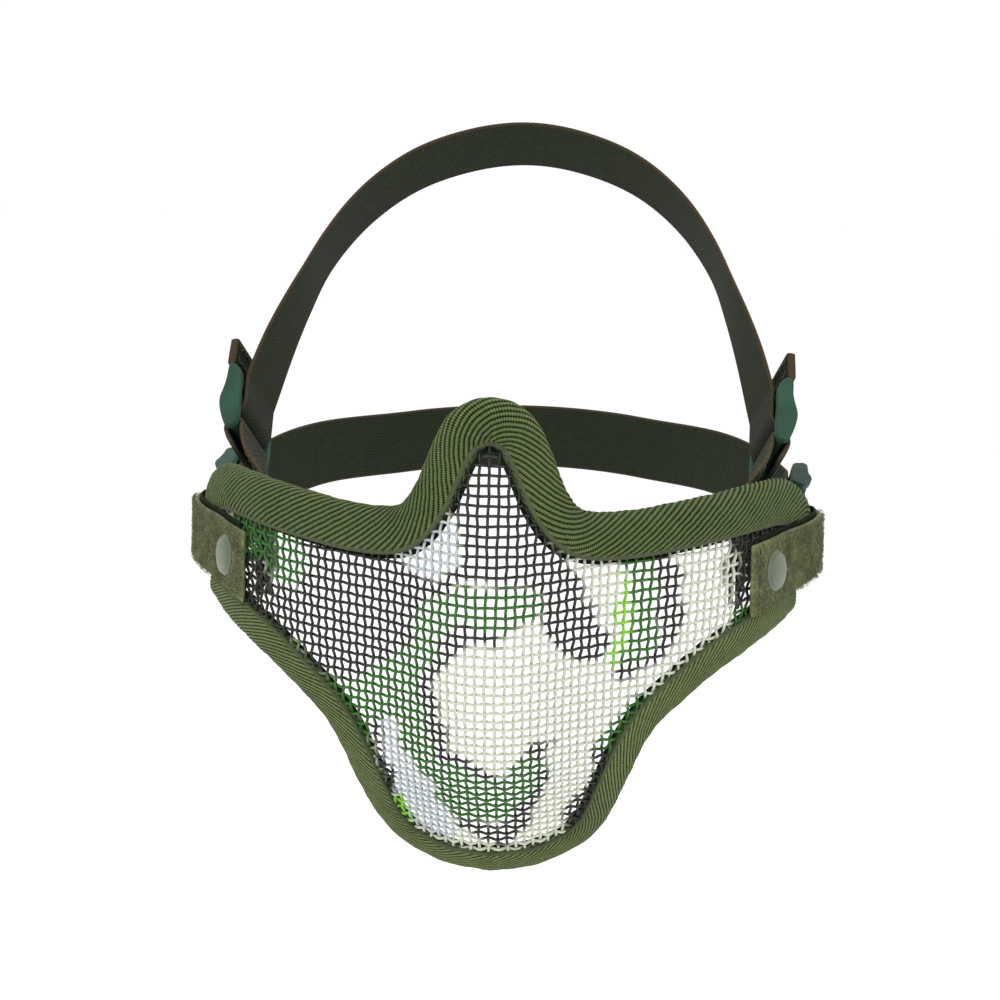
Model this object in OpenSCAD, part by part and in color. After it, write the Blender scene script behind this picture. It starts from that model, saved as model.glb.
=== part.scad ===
// Half-face guard of woven steel wire with padded fabric edges and a two-strap harness.
// +Z is up, the guard's front faces -Y, and the wearer's face is on the +Y side.
// The origin is the middle of the rear opening, level with the cheek wall.

/* [Mesh face] */
// Thickness of the woven wire panel
mesh_t = 1.0; // [0.8:0.1:1.4]
// Depth of the face from the nose to the rear edge
face_depth = 98; // [94:1:102]

/* [Edge binding] */
// Width of the upper padded tape
upper_w = 13.6; // [12:0.2:14]
// Thickness of the upper padded tape
upper_t = 6.6; // [5:0.2:7]
// Width of the lower padded tape
lower_w = 9.4; // [8:0.2:10]
// Thickness of the lower padded tape
lower_t = 5.6; // [4.6:0.2:6]
// Thickness of the tape fabric
tape_t = 1.0; // [0.8:0.1:1.2]

/* [Side tabs] */
// Height of the loop-pile tab
tab_h = 21; // [20:1:24]
// Thickness of the loop pile
pile_t = 1.6; // [1.2:0.1:1.8]
// Thickness of the lining webbing
lining_t = 0.8; // [0.6:0.1:0.8]

/* [Rivets] */
// Radius of the domed cap
cap_r = 6.2; // [5:0.1:7]
// Height of the domed cap
cap_h = 2.2; // [1.6:0.1:2.6]
// Radius of the rivet post
post_r = 1.9; // [1.5:0.1:2.2]

/* [Harness] */
// Width of the elastic straps and arms
strap_w = 20; // [16:1:20]
// Thickness of the elastic
strap_t = 1.3; // [1:0.1:1.4]
// Rise of the upper strap above level, in degrees
upper_rise = 49; // [47:1:52]
// Rise of the lower strap above level, in degrees
lower_rise = 11; // [8:1:13]
// Distance from the rivet to the upper buckle's first bar
upper_lock_d = 41; // [40:1:44]
// Distance from the rivet to the lower buckle's first bar
lower_lock_d = 54; // [52:1:58]
// Outward lean of the buckles, in degrees
lock_lean = 18; // [10:1:20]
// Length of the free strap tail past the buckle
tail_len = 24; // [22:1:30]

/* [Hidden] */

// Rivet axis
piv_y = -33;
piv_z = -11;
piv_x = 77;
// Buckle positions, sideways
upper_x = 78;
lower_x = 83;

// Plan curve of the face: half width against depth behind the nose
plan = [[0,0],[8,1.5],[16,6.5],[24,13],[32,19],[44,27],[56,36],[66,46],[72,55],[78,67],[84,83],[88,97],[93,116]];
// Profile of the face: height against extra depth under the nose line
side = [[-104,60],[-92,44],[-80,31],[-68,18],[-58,11],[-44,4],[-30,0.5],[-15,0],[0,0.5],[28,4],[46,7.5]];

// Middle line of the upper tape, from the centre to the right rear: x and z
up_line = [[0,34.5],[3.6,33.7],[7.4,31],[10.4,26],[13,19.5],[16,12.5],[20,6.5],[25,3],[32,2],[42,2.6],[54,4.5],[65,6.5],[74,8],[80.5,8.3],[85.2,5],[87.4,-1],[87.8,-8]];
// Middle line of the lower tape
low_line = [[0,-95.5],[11.5,-94],[19.5,-91],[25,-87.5],[29.6,-82],[33.5,-73.5],[38,-62.5],[42,-54.5],[47,-48],[54,-41.5],[62,-34.8],[71,-29],[79,-24],[85,-19.5]];

// Slope at point i of a table
function slope(t,i) = i==0 ? (t[1][1]-t[0][1])/(t[1][0]-t[0][0])
  : i==len(t)-1 ? (t[i][1]-t[i-1][1])/(t[i][0]-t[i-1][0])
  : (t[i+1][1]-t[i-1][1])/(t[i+1][0]-t[i-1][0]);
// Smooth value of a table at v
function find(t,v,i=0) = (i >= len(t)-2 || v <= t[i+1][0]) ? i : find(t,v,i+1);
function smooth(t,v) = let(i=find(t,v), h=t[i+1][0]-t[i][0], s=(v-t[i][0])/h,
  m0=slope(t,i)*h, m1=slope(t,i+1)*h)
  (2*s*s*s-3*s*s+1)*t[i][1]+(s*s*s-2*s*s+s)*m0+(-2*s*s*s+3*s*s)*t[i+1][1]+(s*s*s-s*s)*m1;
plan0 = concat([[-8,1.5]], plan);
function depth(x,z) = smooth(plan0,abs(x))+smooth(side,z)-face_depth;
function on_face(x,z) = [x, depth(x,z), z];
function unit(v) = v/norm(v);
// Outward normal of the face
function face_n(x,z) = unit([ (depth(x+0.5,z)-depth(x-0.5,z)), -1, (depth(x,z+0.5)-depth(x,z-0.5)) ]);

// Catmull-Rom curve through a list of points, k steps a span
function pt(p,i) = p[max(0,min(len(p)-1,i))];
function cr(a,b,c,d,t) = 0.5*((2*b)+(c-a)*t+(2*a-5*b+4*c-d)*t*t+(3*b-a-3*c+d)*t*t*t);
function curve(p,k) = concat([for(i=[0:len(p)-2]) for(j=[0:k-1]) cr(pt(p,i-1),pt(p,i),pt(p,i+1),pt(p,i+2),j/k)],[p[len(p)-1]]);
function mir(p) = [for(i=[len(p)-1:-1:1]) [-p[i][0],p[i][1]]];
function whole(p) = concat(mir(p),p);

// A closed skin through rings of the same count, with ends closed
module skin(rings) {
  n=len(rings[0]); m=len(rings);
  polyhedron(points=[for(r=rings) for(q=r) q],
    faces=concat([[for(j=[0:n-1]) j]], [[for(j=[n-1:-1:0]) (m-1)*n+j]],
      [for(i=[0:m-2]) for(j=[0:n-1]) [i*n+j,(i+1)*n+j,(i+1)*n+(j+1)%n]],
      [for(i=[0:m-2]) for(j=[0:n-1]) [i*n+j,(i+1)*n+(j+1)%n,i*n+(j+1)%n]]), convexity=8);
}
// Rounded flat section, half width a along b and half thickness t along n
function sect(c,b,n,a,t,k) = [for(j=[0:k-1]) let(g=360*j/k, u=cos(g), v=sin(g))
  c + b*(a*sign(u)*pow(abs(u),0.75)) + n*(t*sign(v)*pow(abs(v),0.75))];
function rings_on(line,a,t,k) = let(m=len(line)) [for(i=[0:m-1]) let(
  q=line[i], p0=line[max(0,i-1)], p1=line[min(m-1,i+1)],
  c=on_face(q[0],q[1]), tg=unit(on_face(p1[0],p1[1])-on_face(p0[0],p0[1])),
  n0=face_n(q[0],q[1]), n=unit(n0-tg*(n0*tg)), b=cross(tg,n)) sect(c,b,n,a,t,k)];

up_path = whole(curve(up_line,2));
low_path = whole(curve(low_line,2));

// Woven wire panel, between the two tape lines
module mesh_face() {
  nu=44; nv=14;
  u_line=curve([for(p=up_line) [min(p[0],86.2), p[1]]],3);
  l_line=curve(low_line,3);
  function at(l,s) = let(a=abs(s)*(len(l)-1), i=min(len(l)-2,floor(a)), f=a-i, q=l[i]*(1-f)+l[i+1]*f) [sign(s)*q[0],q[1]];
  function g(i,j,o) = let(s=-1+2*i/nu, a=at(u_line,s*0.93), b=at(l_line,s), v=j/nv, q=b*(1-v)+a*v,
    n=face_n(q[0],q[1])) on_face(q[0],q[1])+n*o;
  w=nv+1;
  function id(i,j,k) = k*(nu+1)*w + i*w + j;
  color([0.62,0.66,0.56]) polyhedron(
    points=[for(k=[0,1]) for(i=[0:nu]) for(j=[0:nv]) g(i,j,(k-0.5)*mesh_t)],
    faces=concat(
      [for(i=[0:nu-1]) for(j=[0:nv-1]) [id(i,j,1),id(i,j+1,1),id(i+1,j+1,1)]],
      [for(i=[0:nu-1]) for(j=[0:nv-1]) [id(i,j,1),id(i+1,j+1,1),id(i+1,j,1)]],
      [for(i=[0:nu-1]) for(j=[0:nv-1]) [id(i,j,0),id(i+1,j+1,0),id(i,j+1,0)]],
      [for(i=[0:nu-1]) for(j=[0:nv-1]) [id(i,j,0),id(i+1,j,0),id(i+1,j+1,0)]],
      [for(i=[0:nu-1]) [id(i,0,0),id(i,0,1),id(i+1,0,1),id(i+1,0,0)]],
      [for(i=[0:nu-1]) [id(i,nv,1),id(i,nv,0),id(i+1,nv,0),id(i+1,nv,1)]],
      [for(j=[0:nv-1]) [id(0,j,1),id(0,j,0),id(0,j+1,0),id(0,j+1,1)]],
      [for(j=[0:nv-1]) [id(nu,j,0),id(nu,j,1),id(nu,j+1,1),id(nu,j+1,0)]]), convexity=10);
}
// A tube of fabric, open at both ends, between an outer and an inner set of rings
module tape(path,w,t) {
  o=rings_on(path,w/2,t/2,12); q=rings_on(path,w/2-tape_t,t/2-tape_t,12);
  n=12; m=len(o); k=m*n;
  polyhedron(points=concat([for(r=o) for(v=r) v],[for(r=q) for(v=r) v]),
    faces=concat(
      [for(i=[0:m-2]) for(j=[0:n-1]) [i*n+j,(i+1)*n+j,(i+1)*n+(j+1)%n]],
      [for(i=[0:m-2]) for(j=[0:n-1]) [i*n+j,(i+1)*n+(j+1)%n,i*n+(j+1)%n]],
      [for(i=[0:m-2]) for(j=[0:n-1]) [k+i*n+j,k+(i+1)*n+(j+1)%n,k+(i+1)*n+j]],
      [for(i=[0:m-2]) for(j=[0:n-1]) [k+i*n+j,k+i*n+(j+1)%n,k+(i+1)*n+(j+1)%n]],
      [for(j=[0:n-1]) [j,(j+1)%n,k+(j+1)%n,k+j]],
      [for(j=[0:n-1]) let(e=(m-1)*n) [e+(j+1)%n,e+j,k+e+j,k+e+(j+1)%n]]), convexity=8);
}
module upper_binding() { color([0.27,0.35,0.18]) tape(up_path,upper_w,upper_t); }
module lower_binding() { color([0.25,0.33,0.18]) tape(low_path,lower_w,lower_t); }
module upper_foam() { color([0.16,0.16,0.15]) skin(rings_on(up_path,upper_w/2-tape_t,upper_t/2-tape_t,12)); }
module lower_foam() { color([0.16,0.16,0.15]) skin(rings_on(low_path,lower_w/2-tape_t,lower_t/2-tape_t,12)); }

// A strip of constant thickness along a plan path
function nrm(p,i) = let(a=pt(p,i-1), b=pt(p,i+1), d=unit(b-a)) [d[1],-d[0]];
function band(p,t) = concat([for(i=[0:len(p)-1]) p[i]+nrm(p,i)*t/2],[for(i=[len(p)-1:-1:0]) p[i]-nrm(p,i)*t/2]);
// Outer leaf of the tab goes round the rear edge and comes back inside
tab_path = [[73.6,-45],[76.9,-38.5],[80.2,-31.5],[83.6,-23.4],[88,-15.5],[91.4,-7],[93,0],[92.6,5],[89.5,7.8],[86,7.2],[83.6,3.6],[82.2,-1.5],[80.6,-8]];
lin_path = [[75.4,-38.6],[78.9,-31.2],[82.4,-23],[86.8,-14.8],[90.2,-6.6],[91.6,0],[91.2,4.4],[89,6.4],[86.6,5.8],[84.9,3],[83.5,-2]];
// The tab climbs towards the rear about the rivet
tab_climb = 0.13;
module climb() { multmatrix([[1,0,0,0],[0,1,0,0],[0,tab_climb,1,tab_climb*25],[0,0,0,1]]) children(); }
// The lower edge is cut on a steeper slant
module under_cut(z) { translate([60,0,z]) rotate([90,0,90]) linear_extrude(height=45) polygon([[-50,-25],[12,-11.6],[12,-45],[-50,-45]]); }
module tab() {
  difference() {
    climb() translate([0,0,-21.2]) linear_extrude(height=tab_h) polygon(band(curve(tab_path,3),pile_t));
    under_cut(0);
  }
}
module tab_lining() {
  difference() {
    climb() translate([0,0,-19.2]) linear_extrude(height=tab_h-0.8) polygon(band(curve(lin_path,3),lining_t));
    under_cut(1.2);
  }
}
module side_tab_right() { color([0.46,0.50,0.31]) tab(); }
module side_tab_left() { color([0.46,0.50,0.31]) mirror([1,0,0]) tab(); }
module tab_lining_right() { color([0.16,0.22,0.14]) tab_lining(); }
module tab_lining_left() { color([0.16,0.22,0.14]) mirror([1,0,0]) tab_lining(); }

// Domed cap, square to the cheek wall
wall_turn = atan2(face_n(piv_x,piv_z)[1], face_n(piv_x,piv_z)[0]);
module cap() {
  translate([80.3,piv_y+0.1,piv_z]) rotate([0,0,wall_turn]) rotate([0,90,0])
    rotate_extrude($fn=64) polygon(concat([[0,0],[cap_r,0]],
      [for(i=[1:9]) [cap_r*cos(i*10), 0.5+(cap_h-0.5)*sin(i*10)]], [[0,cap_h]]));
}
module post() {
  translate([65.8,piv_y,piv_z]) rotate([0,90,0]) cylinder(r=post_r,h=14.4,$fn=48);
  translate([65.0,piv_y,piv_z]) rotate([0,90,0]) cylinder(r=4.6,h=0.9,$fn=48);
}
module rivet_cap_right() { color([0.43,0.49,0.39]) cap(); }
module rivet_cap_left() { color([0.43,0.49,0.39]) mirror([1,0,0]) cap(); }
module rivet_post_right() { color([0.55,0.56,0.53]) post(); }
module rivet_post_left() { color([0.55,0.56,0.53]) mirror([1,0,0]) post(); }

// Harness frame: X sideways, Y along the strap away from the rivet, Z across its width
module harness(rise) { translate([0,piv_y,piv_z]) rotate([rise,0,0]) children(); }
function ease(v) = let(s=max(0,min(1,v))) s*s*(3-2*s);
// A point of the harness frame, leaned outwards by a degrees about the buckle's line; sg picks the side
function lean(q,w,a,lx) = let(sg=q[0]<-0.001 ? -1 : 1, x=abs(q[0])-lx) [sg*(lx+x*cos(a)+w*sin(a)), q[1], w*cos(a)-x*sin(a)];
// Rings of a band along a path, leaning by a[i] degrees at point i
function lean_band(p,t,a,lx) = let(h=strap_w/2) [for(i=[0:len(p)-1]) let(n=nrm(p,i), f=p[i]+n*t/2, r=p[i]-n*t/2)
  [lean(f,h,a[i],lx), lean(r,h,a[i],lx), lean(r,-h,a[i],lx), lean(f,-h,a[i],lx)]];
// The buckle's own frame, leaning outwards about the line of the strap
module at_lock(rise,lx,ld) { harness(rise) translate([lx,ld,0]) rotate([0,lock_lean,0]) children(); }
// Webbing arm, from the rivet up one side of the buckle's first bar, over it and back down to the arm
function eye_path(lx,ld) = concat([for(a=[180:-20:0]) [lx+2.5*cos(a),ld+2.5*sin(a)]], [[lx+2.5,ld-1.2],[lx+1.8,ld-3.6],[lx+0.5,ld-6.2]]);
module arm(rise,path,lx,ld) {
  p=concat(curve(path,3),eye_path(lx,ld));
  difference() {
    harness(rise) skin(lean_band(p,1.4,[for(q=p) lock_lean*ease((q[1]-14)/(ld-22))],lx));
    harness(rise) translate([60,0,0]) rotate([0,90,0]) cylinder(r=post_r+0.2,h=20,$fn=48);
  }
}
upper_arm_path = [[67.6,-7],[67.6,-1],[67.6,8],[68.4,16],[71,25],[74,33],[75.5,39]];
lower_arm_path = [[69.6,-7],[69.6,-1],[69.6,8],[71.6,20],[75.8,34],[79.4,45],[80.5,52]];
module upper_arm_right() { color([0.22,0.25,0.18]) arm(upper_rise,upper_arm_path,upper_x,upper_lock_d); }
module upper_arm_left() { color([0.22,0.25,0.18]) mirror([1,0,0]) arm(upper_rise,upper_arm_path,upper_x,upper_lock_d); }
module lower_arm_right() { color([0.22,0.25,0.18]) arm(lower_rise,lower_arm_path,lower_x,lower_lock_d); }
module lower_arm_left() { color([0.22,0.25,0.18]) mirror([1,0,0]) arm(lower_rise,lower_arm_path,lower_x,lower_lock_d); }

// Elastic head strap, from buckle to buckle round the back of the head
upper_half = [[0,160],[17,157],[34,148.5],[48,134.5],[58.5,116.5],[65,97],[70.6,77],[75,58.6]];
lower_half = [[0,142],[16,140],[32,134],[46,124],[57.5,110.5],[67,96],[74.5,83],[80,71.6]];
module strap(rise,half,lx,ld) {
  p=whole(curve(half,4));
  harness(rise) skin(lean_band(p,strap_t,[for(q=p) lock_lean*(1-ease((q[1]-ld-18)/60))],lx));
}
module upper_strap() { color([0.18,0.20,0.16]) strap(upper_rise,upper_half,upper_x,upper_lock_d); }
module lower_strap() { color([0.18,0.20,0.16]) strap(lower_rise,lower_half,lower_x,lower_lock_d); }

// Ladder lock: two side rails, three bars and a thumb lip
module lock(rise,lx,ld) {
  at_lock(rise,lx,ld) {
    for(s=[-1,1]) translate([0,0,s*11.6-1.25]) linear_extrude(height=2.5)
      polygon([[-1.2,-2.2],[1.2,-2.2],[2.6,0.6],[3.8,5],[4.1,8.6],[3.0,13],[2.4,17],[2.2,20],[1.2,21],[-0.2,20.2],[-2,17],[-2.2,10],[-2.4,4],[-2.2,-0.8]]);
    // bar for the webbing eye
    translate([0,0,-11.6]) cylinder(r=1.45,h=23.2,$fn=48);
    // middle bar, wrapped by the elastic
    translate([0,8,-11.6]) cylinder(r=1.6,h=23.2,$fn=48);
    // gripping bar
    translate([-0.6,15,-11.6]) cylinder(r=1.4,h=23.2,$fn=48);
  }
}
module upper_lock_right() { color([0.22,0.35,0.27]) lock(upper_rise,upper_x,upper_lock_d); }
module upper_lock_left() { color([0.22,0.35,0.27]) mirror([1,0,0]) lock(upper_rise,upper_x,upper_lock_d); }
module lower_lock_right() { color([0.22,0.35,0.27]) lock(lower_rise,lower_x,lower_lock_d); }
module lower_lock_left() { color([0.22,0.35,0.27]) mirror([1,0,0]) lock(lower_rise,lower_x,lower_lock_d); }

// Elastic where it turns round the middle bar
wrap_path = concat([[-3,17],[-3,12.5]],[for(a=[180:20:360]) [3*cos(a),8+3*sin(a)]]);
module wrap(rise,lx,ld) {
  at_lock(rise,lx,ld) translate([0,0,-strap_w/2]) linear_extrude(height=strap_w) polygon(band(wrap_path,strap_t));
}
module upper_wrap_right() { color([0.18,0.20,0.16]) wrap(upper_rise,upper_x,upper_lock_d); }
module upper_wrap_left() { color([0.18,0.20,0.16]) mirror([1,0,0]) wrap(upper_rise,upper_x,upper_lock_d); }
module lower_wrap_right() { color([0.18,0.20,0.16]) wrap(lower_rise,lower_x,lower_lock_d); }
module lower_wrap_left() { color([0.18,0.20,0.16]) mirror([1,0,0]) wrap(lower_rise,lower_x,lower_lock_d); }

// Free tail of the elastic, with its end folded back and stitched
module tail(rise,lx,ld) {
  at_lock(rise,lx,ld) translate([0,0,-strap_w/2]) linear_extrude(height=strap_w) union() {
    polygon(band([[3,8.4],[3,17],[3,21],[2.8,26],[2.4,8.4+tail_len]],strap_t));
    polygon(band([[3.4,8.4+tail_len-9],[3.1,8.4+tail_len-1]],2.6));
  }
}
module upper_tail_right() { color([0.18,0.20,0.16]) tail(upper_rise,upper_x,upper_lock_d); }
module upper_tail_left() { color([0.18,0.20,0.16]) mirror([1,0,0]) tail(upper_rise,upper_x,upper_lock_d); }
module lower_tail_right() { color([0.18,0.20,0.16]) tail(lower_rise,lower_x,lower_lock_d); }
module lower_tail_left() { color([0.18,0.20,0.16]) mirror([1,0,0]) tail(lower_rise,lower_x,lower_lock_d); }

mesh_face();
upper_binding();
upper_foam();
lower_binding();
lower_foam();
side_tab_left();
side_tab_right();
tab_lining_left();
tab_lining_right();
rivet_cap_left();
rivet_cap_right();
rivet_post_left();
rivet_post_right();
upper_arm_left();
upper_arm_right();
lower_arm_left();
lower_arm_right();
upper_strap();
lower_strap();
upper_lock_left();
upper_lock_right();
lower_lock_left();
lower_lock_right();
upper_wrap_left();
upper_wrap_right();
lower_wrap_left();
lower_wrap_right();
upper_tail_left();
upper_tail_right();
lower_tail_left();
lower_tail_right();
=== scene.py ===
import bpy, math
import numpy as np
from mathutils import Vector, Matrix


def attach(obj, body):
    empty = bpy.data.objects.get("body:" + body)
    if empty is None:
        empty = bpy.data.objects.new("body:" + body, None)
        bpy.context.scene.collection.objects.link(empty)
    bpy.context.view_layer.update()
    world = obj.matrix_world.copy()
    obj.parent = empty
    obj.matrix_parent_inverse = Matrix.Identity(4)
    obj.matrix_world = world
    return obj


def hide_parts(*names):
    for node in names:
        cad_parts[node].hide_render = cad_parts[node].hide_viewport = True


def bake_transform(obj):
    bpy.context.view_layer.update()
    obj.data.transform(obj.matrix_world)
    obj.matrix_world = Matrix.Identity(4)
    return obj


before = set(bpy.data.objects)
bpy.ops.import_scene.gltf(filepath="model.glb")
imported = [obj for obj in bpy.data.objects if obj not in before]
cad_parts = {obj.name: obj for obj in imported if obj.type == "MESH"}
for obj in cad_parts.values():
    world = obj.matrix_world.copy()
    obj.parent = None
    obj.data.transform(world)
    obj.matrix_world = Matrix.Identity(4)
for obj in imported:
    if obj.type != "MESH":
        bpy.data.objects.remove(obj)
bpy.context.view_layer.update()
MM = 0.001
rng = np.random.default_rng(7)

# ------------------------------------------------------------------ the face surface, as in part.scad (mm)
PLAN = np.array([[-8,1.5],[0,0],[8,1.5],[16,6.5],[24,13],[32,19],[44,27],[56,36],[66,46],[72,55],[78,67],[84,83],[88,97],[93,116]], float)
SIDE = np.array([[-104,60],[-92,44],[-80,31],[-68,18],[-58,11],[-44,4],[-30,0.5],[-15,0],[0,0.5],[28,4],[46,7.5]], float)
DEPTH = 98.0
UP_LINE = [[0,34.5],[3.6,33.7],[7.4,31],[10.4,26],[13,19.5],[16,12.5],[20,6.5],[25,3],[32,2],[42,2.6],[54,4.5],[65,6.5],[74,8],[80.5,8.3],[85.2,5],[87.4,-1],[87.8,-8]]
LOW_LINE = [[0,-95.5],[11.5,-94],[19.5,-91],[25,-87.5],[29.6,-82],[33.5,-73.5],[38,-62.5],[42,-54.5],[47,-48],[54,-41.5],[62,-34.8],[71,-29],[79,-24],[85,-19.5]]

def smooth(t, v):
    x, y = t[:, 0], t[:, 1]
    m = np.empty(len(t)); m[0] = (y[1]-y[0])/(x[1]-x[0]); m[-1] = (y[-1]-y[-2])/(x[-1]-x[-2])
    m[1:-1] = (y[2:]-y[:-2])/(x[2:]-x[:-2])
    v = np.asarray(v, float)
    i = np.clip(np.searchsorted(x, v, side="right")-1, 0, len(t)-2)
    h = x[i+1]-x[i]; s = (v-x[i])/h
    return (2*s**3-3*s**2+1)*y[i]+(s**3-2*s**2+s)*m[i]*h+(-2*s**3+3*s**2)*y[i+1]+(s**3-s**2)*m[i+1]*h
def depth(x, z): return smooth(PLAN, np.abs(x))+smooth(SIDE, z)-DEPTH
def face(x, z): return np.stack([np.asarray(x, float), depth(x, z), np.asarray(z, float)], -1)
def unit(v): return v/np.maximum(np.linalg.norm(v, axis=-1, keepdims=True), 1e-12)
def face_n(x, z):
    return unit(np.stack([depth(np.asarray(x)+.5, z)-depth(np.asarray(x)-.5, z), -np.ones(np.shape(x)), depth(x, np.asarray(z)+.5)-depth(x, np.asarray(z)-.5)], -1))
def crom(p, k, full=False):
    p = np.array(p, float)
    P = np.vstack([p[:1], p, p[-1:]]); out = []
    for i in range(len(p)-1):
        a, b, c, d = P[i:i+4]
        for t in np.arange(k)/k:
            out.append(0.5*((2*b)+(c-a)*t+(2*a-5*b+4*c-d)*t*t+(3*b-a-3*c+d)*t**3))
    out.append(p[-1]); return np.array(out)
def whole(p): return np.vstack([(p*[-1, 1])[:0:-1], p])
def resample(P, step, extra=None):
    d = np.linalg.norm(np.diff(P, axis=0), axis=1); s = np.r_[0, np.cumsum(d)]
    n = max(2, int(round(s[-1]/step))+1); t = np.linspace(0, s[-1], n)
    return np.stack([np.interp(t, s, P[:, i]) for i in range(P.shape[1])], -1), t

# ------------------------------------------------------------------ mesh helpers
def mesh(name, V, F, uv=None, mat=None, body=None, attrs=None, smooth_=True):
    me = bpy.data.meshes.new(name)
    V = np.asarray(V, np.float32)*MM; F = [np.asarray(f, np.int32) for f in (F if isinstance(F, list) else [F])]
    me.vertices.add(len(V)); me.vertices.foreach_set("co", V.ravel())
    tot = np.concatenate([np.full(len(f), f.shape[1], np.int32) for f in F]); idx = np.concatenate([f.ravel() for f in F])
    me.loops.add(len(idx)); me.loops.foreach_set("vertex_index", idx)
    me.polygons.add(len(tot)); me.polygons.foreach_set("loop_start", np.r_[0, np.cumsum(tot)[:-1]].astype(np.int32))
    me.polygons.foreach_set("use_smooth", np.full(len(tot), smooth_))
    me.update(calc_edges=True)
    if uv is not None:
        l = me.uv_layers.new(name="tape"); l.data.foreach_set("uv", np.asarray(uv, np.float32).ravel())
    for k, a in (attrs or {}).items():
        a = np.asarray(a, np.float32)
        if a.ndim == 2:
            c = me.color_attributes.new(k, "FLOAT_COLOR", "POINT"); c.data.foreach_set("color", a.ravel())
        else:
            c = me.attributes.new(k, "FLOAT", "POINT"); c.data.foreach_set("value", a)
    me.validate()
    o = bpy.data.objects.new(name, me); bpy.context.scene.collection.objects.link(o)
    if mat: me.materials.append(mat)
    if body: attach(o, body)
    return o
def sweep(name, C, B, N, OFF, uvs=None, mat=None, body=None, attrs=None):
    """Closed section OFF[m,k,2] (along B and N) carried along C. uvs[m,k+1,2] per ring, seam kept apart."""
    m, k = OFF.shape[:2]
    V = (C[:, None]+B[:, None]*OFF[..., :1]+N[:, None]*OFF[..., 1:]).reshape(-1, 3)
    i, j = np.meshgrid(np.arange(m-1), np.arange(k), indexing="ij"); j2 = (j+1) % k
    F = np.stack([i*k+j, i*k+j2, (i+1)*k+j2, (i+1)*k+j], -1).reshape(-1, 4)
    caps = []
    c0, c1 = len(V), len(V)+1
    V = np.vstack([V, V[:k].mean(0), V[(m-1)*k:].mean(0)])
    jj = np.arange(k)
    T = np.vstack([np.stack([np.full(k, c0), (jj+1) % k, jj], -1), np.stack([np.full(k, c1), (m-1)*k+jj, (m-1)*k+(jj+1) % k], -1)])
    uv = None
    if uvs is not None:
        q = np.stack([uvs[i, j], uvs[i, j+1], uvs[i+1, j+1], uvs[i+1, j]], -2).reshape(-1, 2)
        e0 = np.stack([uvs[0, :-1], uvs[0, :-1], uvs[0, :-1]], 1).reshape(-1, 2); e1 = np.stack([uvs[-1, :-1]]*3, 1).reshape(-1, 2)
        uv = np.vstack([q, e0, e1])
    at = None
    if attrs: at = {n: (np.vstack([a.reshape(-1, a.shape[-1]), a.reshape(-1, a.shape[-1])[:2]]) if a.ndim == 3 else np.r_[a.ravel(), a.ravel()[:2]]) for n, a in attrs.items()}
    return mesh(name, V, [F, T], uv, mat, body, at)

# ------------------------------------------------------------------ materials
def srgb(r, g, b):
    f = lambda c: (c/255/12.92) if c/255 <= 0.04045 else ((c/255+0.055)/1.055)**2.4
    return (f(r), f(g), f(b), 1.0)
class Mat:
    def __init__(s, name, rough=0.8, **kw):
        s.m = bpy.data.materials.new(name); s.m.use_nodes = True; s.t = s.m.node_tree
        s.b = s.t.nodes["Principled BSDF"]; s.b.inputs["Roughness"].default_value = rough
        for k, v in kw.items(): s.b.inputs[k.replace("_", " ")].default_value = v
    def n(s, kind, **kw):
        o = s.t.nodes.new("ShaderNode"+kind)
        for k, v in kw.items(): setattr(o, k, v)
        return o
    def l(s, a, b): s.t.links.new(a, b)
    def val(s, sock, v):
        if hasattr(v, "is_output") or hasattr(v, "links"): s.l(v, sock)
        else: sock.default_value = v
    def math(s, op, a, b=None, c=None, clamp=False):
        o = s.n("Math", operation=op, use_clamp=clamp)
        for i, v in enumerate((a, b, c)):
            if v is not None: s.val(o.inputs[i], v)
        return o.outputs[0]
    def noise(s, scale, detail=2.0, vec=None, rough=0.5):
        o = s.n("TexNoise"); o.inputs["Scale"].default_value = scale; o.inputs["Detail"].default_value = detail; o.inputs["Roughness"].default_value = rough
        s.l(vec if vec is not None else s.obj(), o.inputs["Vector"]); return o.outputs["Fac"]
    def obj(s):
        return s.n("TexCoord").outputs["Object"]
    def uv(s):
        o = s.n("UVMap", uv_map="tape"); x = s.n("SeparateXYZ"); s.l(o.outputs[0], x.inputs[0]); return x.outputs[0], x.outputs[1]
    def mix(s, f, a, b):
        o = s.n("Mix", data_type="RGBA"); s.val(o.inputs[0], f); s.val(o.inputs[6], a); s.val(o.inputs[7], b); return o.outputs[2]
    def ramp(s, f, *stops):
        o = s.n("ValToRGB"); e = o.color_ramp.elements
        while len(e) > 1: e.remove(e[-1])
        e[0].position, e[0].color = stops[0]
        for p, c in stops[1:]:
            q = e.new(p); q.color = c
        s.l(f, o.inputs[0]); return o.outputs[0]
    def base(s, c): s.val(s.b.inputs["Base Color"], c)
    def bump(s, h, dist, strength=1.0):
        o = s.n("Bump"); o.inputs["Distance"].default_value = dist; o.inputs["Strength"].default_value = strength
        s.l(h, o.inputs["Height"]); s.l(o.outputs[0], s.b.inputs["Normal"])

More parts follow.
